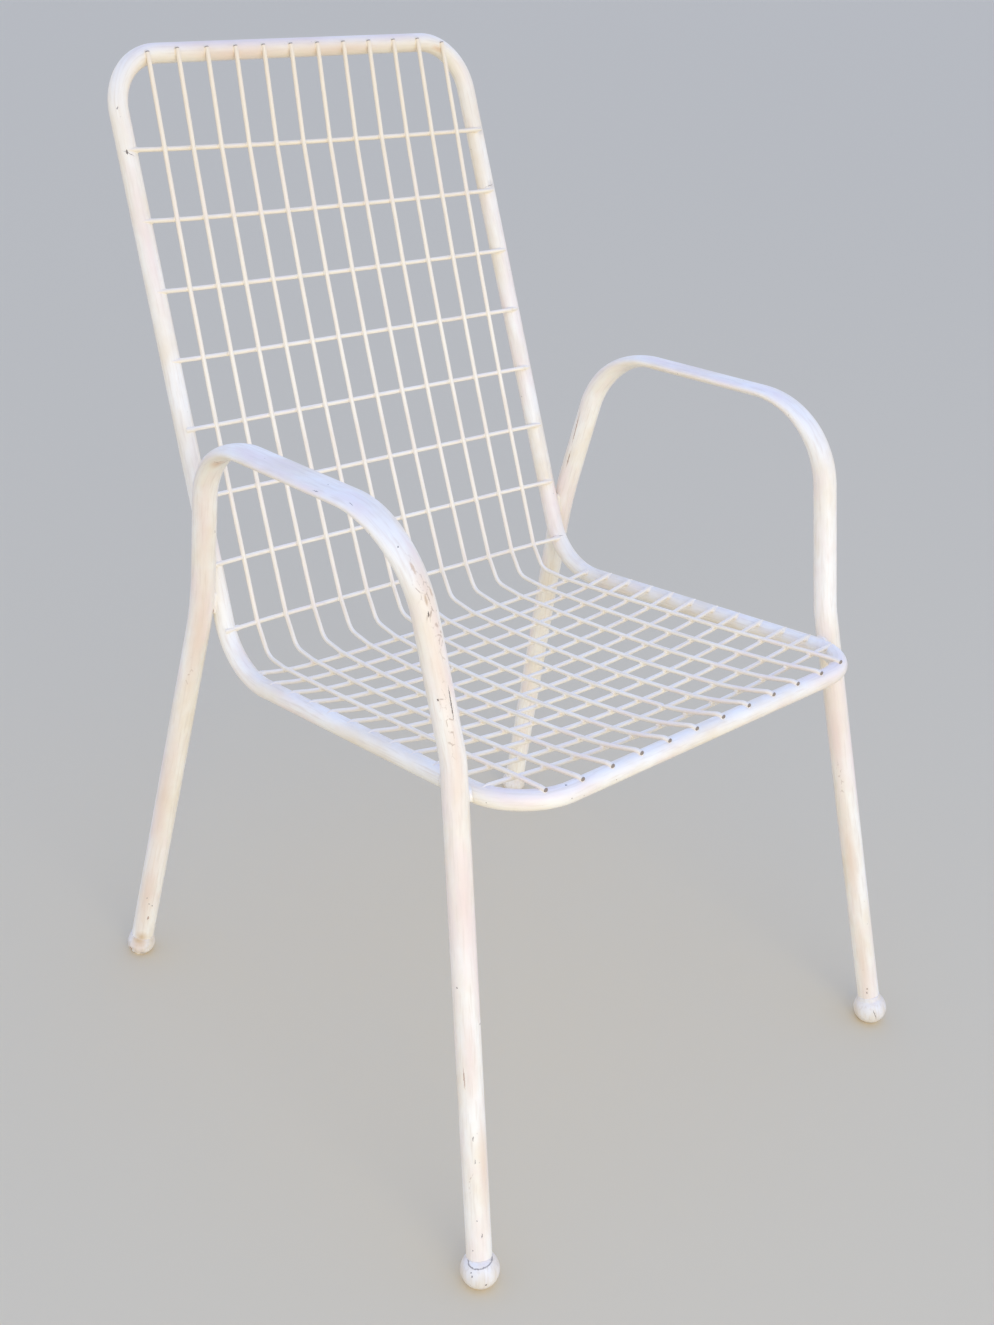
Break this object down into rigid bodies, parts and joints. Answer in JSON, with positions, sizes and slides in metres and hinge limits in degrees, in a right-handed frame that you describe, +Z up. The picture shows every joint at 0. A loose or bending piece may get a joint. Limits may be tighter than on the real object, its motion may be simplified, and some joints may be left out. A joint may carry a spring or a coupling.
{
  "type": "garden armchair",
  "caption": "Garden armchair with one bent tube loop as seat and back, a welded wire mesh across it, two side frames that make legs and flattened armrests, and ball-shaped foot caps.",
  "frame": {"origin": "on the ground, under the middle of the chair's width and of its depth", "axes": "+Z up; +Y from the front of the seat towards its back; +X to the side without the loop's seam, which is on the right when the chair is looked at from its front"},
  "size_m": [0.5964, 0.722, 0.8592],
  "materials": {
    "frame_paint": "glossy weathered paint",
    "wire_paint": "glossy weathered paint",
    "cap_plastic": "semi-gloss moulded plastic",
    "bare_steel": "bare drawn steel tube"
  },
  "bodies": {
    "root": {"seat_back_loop": "frame_paint", "loop_joint_sleeve": "bare_steel", "frame_welds": "frame_paint", "left_side_tube": "frame_paint", "right_side_tube": "frame_paint", "long_wire_1": "wire_paint", "long_wire_2": "wire_paint", "long_wire_3": "wire_paint", "long_wire_4": "wire_paint", "long_wire_5": "wire_paint", "long_wire_6": "wire_paint", "long_wire_7": "wire_paint", "long_wire_8": "wire_paint", "long_wire_9": "wire_paint", "long_wire_10": "wire_paint", "long_wire_11": "wire_paint", "long_wire_12": "wire_paint", "back_cross_wire_1": "wire_paint", "back_cross_wire_2": "wire_paint", "back_cross_wire_3": "wire_paint", "back_cross_wire_4": "wire_paint", "back_cross_wire_5": "wire_paint", "back_cross_wire_6": "wire_paint", "back_cross_wire_7": "wire_paint", "back_cross_wire_8": "wire_paint", "seat_cross_wire_1": "wire_paint", "seat_cross_wire_2": "wire_paint", "seat_cross_wire_3": "wire_paint", "seat_cross_wire_4": "wire_paint", "seat_cross_wire_5": "wire_paint", "seat_cross_wire_6": "wire_paint", "seat_cross_wire_7": "wire_paint", "seat_cross_wire_8": "wire_paint", "seat_cross_wire_9": "wire_paint", "seat_cross_wire_10": "wire_paint", "seat_cross_wire_11": "wire_paint", "seat_cross_wire_12": "wire_paint", "front_left_foot_cap": "cap_plastic", "front_right_foot_cap": "cap_plastic", "rear_left_foot_cap": "cap_plastic", "rear_right_foot_cap": "cap_plastic"}
  },
  "joints": []
}
